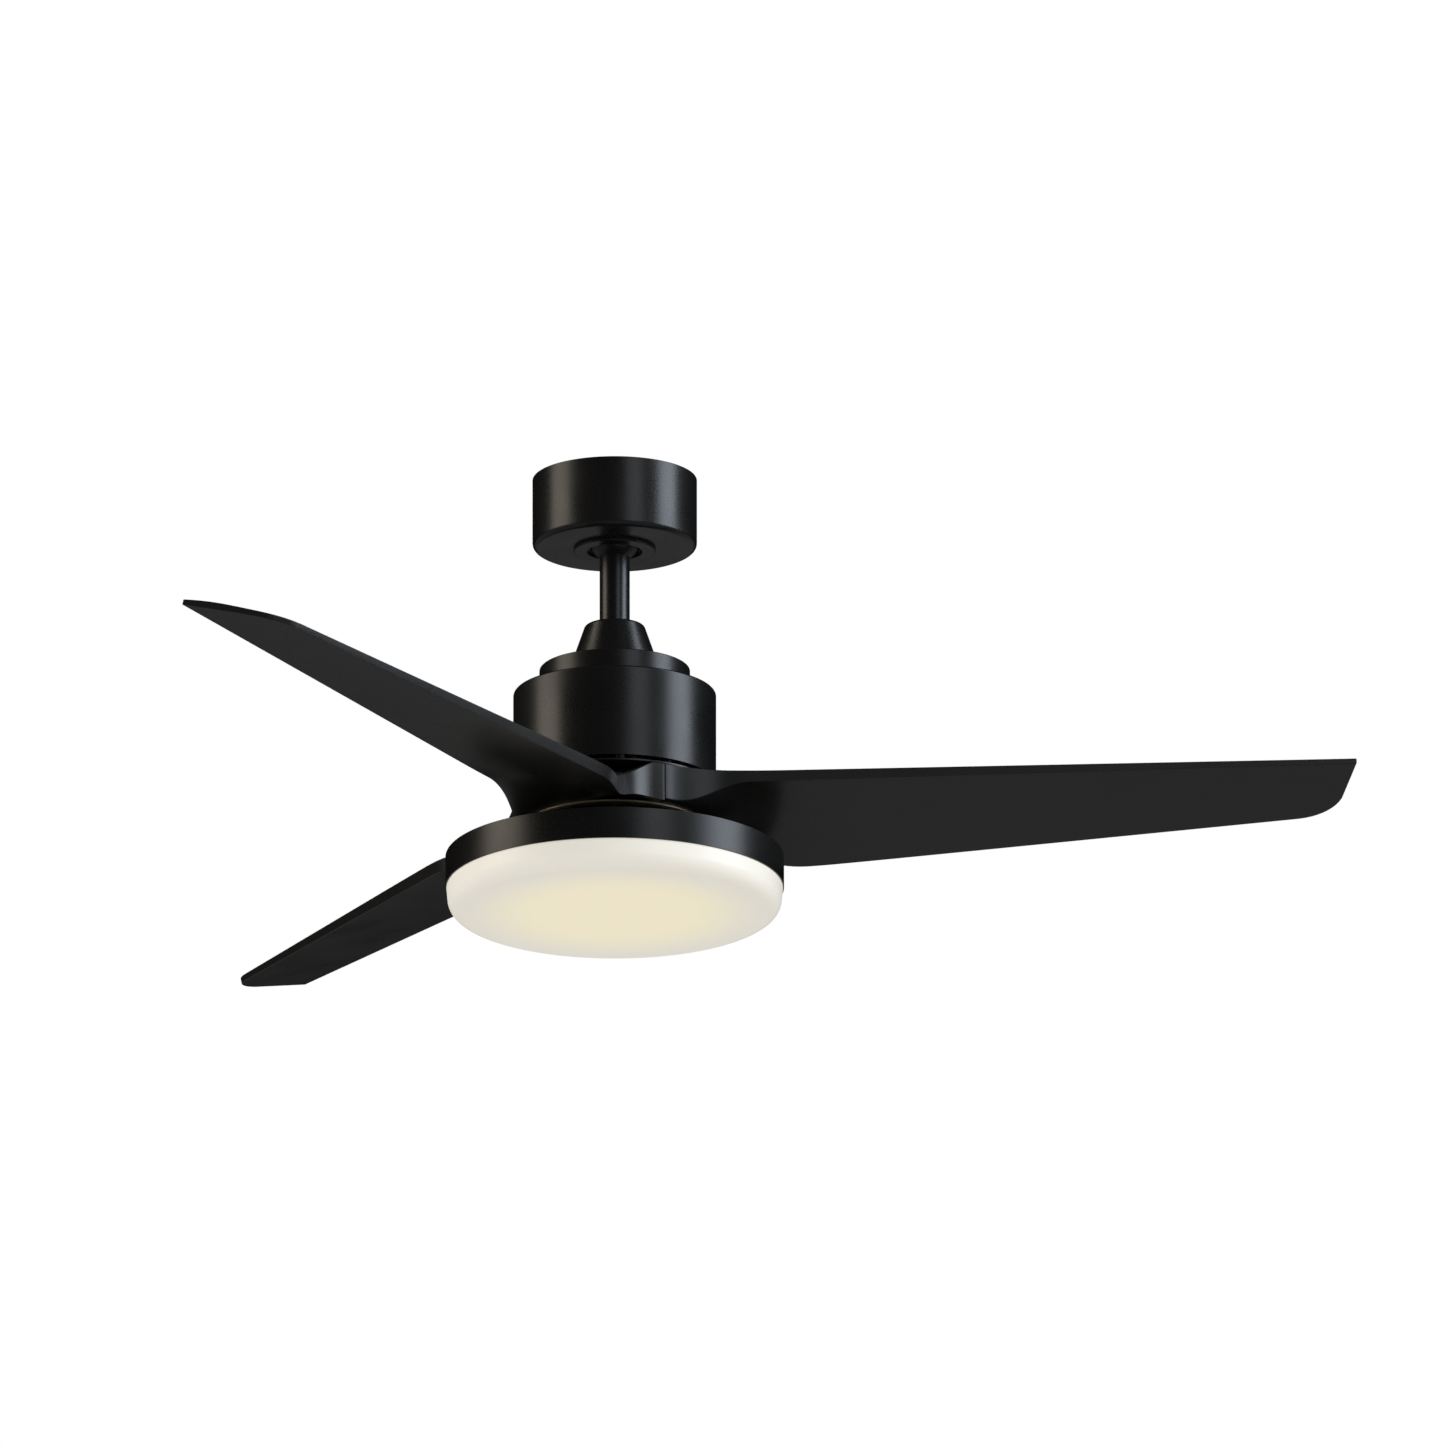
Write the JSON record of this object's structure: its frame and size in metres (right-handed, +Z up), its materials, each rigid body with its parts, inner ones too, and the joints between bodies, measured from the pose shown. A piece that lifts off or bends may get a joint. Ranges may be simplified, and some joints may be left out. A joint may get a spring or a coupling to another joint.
{
  "type": "ceiling fan with light",
  "caption": "Ceiling fan: canopy with hanger ball, short downrod, round motor, pitched blades in a hub ring, and a round opal light below.",
  "frame": {"origin": "on the fan's axis in the ceiling plane, at the middle of the hanger bracket's top face", "axes": "+Z up along the fan's axis, into the ceiling; +X along the first blade's radial line; +Y completes the right-handed frame"},
  "size_m": [1.0375, 1.1572, 0.4006],
  "materials": {
    "black_powder_coat": "satin black powder coat with a fine grain",
    "black_blade_abs": "matt black moulded ABS",
    "opal_acrylic": "opal white acrylic, lit from inside",
    "zinc_plated_steel": "bright zinc plated pressed steel",
    "yellow_zinc": "yellow passivated zinc plated steel",
    "steel_fasteners": "zinc plated steel screws and pins",
    "green_screw": "green passivated earth screw",
    "bearing_steel": "ground bearing steel",
    "cage_brass": "pressed brass",
    "lamination_steel": "stacked electrical steel",
    "enamelled_copper": "enamelled copper wire",
    "ferrite": "ground ferrite magnet",
    "led_aluminium": "plain sheet aluminium",
    "white_solder_mask": "white solder mask",
    "led_phosphor": "yellow phosphor over an LED chip",
    "green_circuit_board": "green solder mask on glass epoxy",
    "black_components": "moulded black component cases",
    "black_case_plastic": "moulded black flame-retardant plastic",
    "white_nylon": "natural white nylon",
    "lead_sleeve": "black braided and vinyl lead sleeve"
  },
  "bodies": {
    "ceiling_mount": {"hanger_bracket": "zinc_plated_steel", "canopy": "black_powder_coat", "canopy_trim_ring": "black_powder_coat", "canopy_screws": "steel_fasteners", "receiver_case": "black_case_plastic", "terminal_block": "white_nylon", "ground_screw": "green_screw"},
    "hanging_motor": {"hanger_ball": "black_powder_coat", "ball_cross_pin": "steel_fasteners", "ball_set_screw": "steel_fasteners", "downrod": "black_powder_coat", "lead_bundle": "lead_sleeve", "lead_connector": "white_nylon", "coupling_cover": "black_powder_coat", "rod_coupler": "zinc_plated_steel", "coupler_pin": "steel_fasteners", "pin_clip": "steel_fasteners", "coupler_set_screws": "steel_fasteners", "coupler_screws": "steel_fasteners", "motor_top_cover": "black_powder_coat", "top_cover_screws": "steel_fasteners", "cover_standoffs": "zinc_plated_steel", "control_board": "green_circuit_board", "board_spacers": "white_nylon", "board_components": "black_components", "motor_plate": "zinc_plated_steel", "motor_housing": "black_powder_coat", "housing_screws": "steel_fasteners", "motor_shaft": "bearing_steel", "bearing_inner_races": "bearing_steel", "stator_core": "lamination_steel", "stator_windings": "enamelled_copper", "fitter_plate": "zinc_plated_steel", "shaft_nut": "steel_fasteners", "light_neck": "black_powder_coat", "pan_screws": "steel_fasteners", "light_pan": "black_powder_coat", "lens_catches": "zinc_plated_steel", "tray_standoffs": "zinc_plated_steel", "led_tray": "led_aluminium", "tray_screws": "steel_fasteners", "led_board": "white_solder_mask", "led_chips": "led_phosphor", "led_driver": "white_nylon", "light_connector": "white_nylon"},
    "rotor": {"rotor_bell": "zinc_plated_steel", "rotor_magnets": "ferrite", "rotor_base": "zinc_plated_steel", "bell_screws": "steel_fasteners", "bearing_outer_races": "bearing_steel", "hub_flange": "black_powder_coat", "clamp_plate": "yellow_zinc", "blade_1": "black_blade_abs", "blade_2": "black_blade_abs", "blade_3": "black_blade_abs", "blade_screws": "steel_fasteners"},
    "bearing_cage": {"bearing_balls": "bearing_steel", "bearing_cages": "cage_brass"},
    "lens": {"lens": "opal_acrylic"}
  },
  "joints": [
    {"name": "hanger_tilt", "type": "hinge", "parent": "ceiling_mount", "child": "hanging_motor", "pos_m": [0, 0, -0.0504], "axis": [0, 1, 0], "range_deg": [-20, 20]},
    {"name": "rotor_spin", "type": "hinge", "parent": "hanging_motor", "child": "rotor", "pos_m": [0, 0, -0.24], "axis": [0, 0, 1], "continuous": true},
    {"name": "cage_spin", "type": "hinge", "parent": "hanging_motor", "child": "bearing_cage", "pos_m": [0, 0, -0.24], "axis": [0, 0, 1], "continuous": true},
    {"name": "lens_twist", "type": "hinge", "parent": "hanging_motor", "child": "lens", "pos_m": [0, 0, -0.3775], "axis": [0, 0, -1], "range_deg": [0, 20]}
  ],
  "couplings": [
    {"joint": "cage_spin", "follows": "rotor_spin", "ratio": 0.5806}
  ]
}
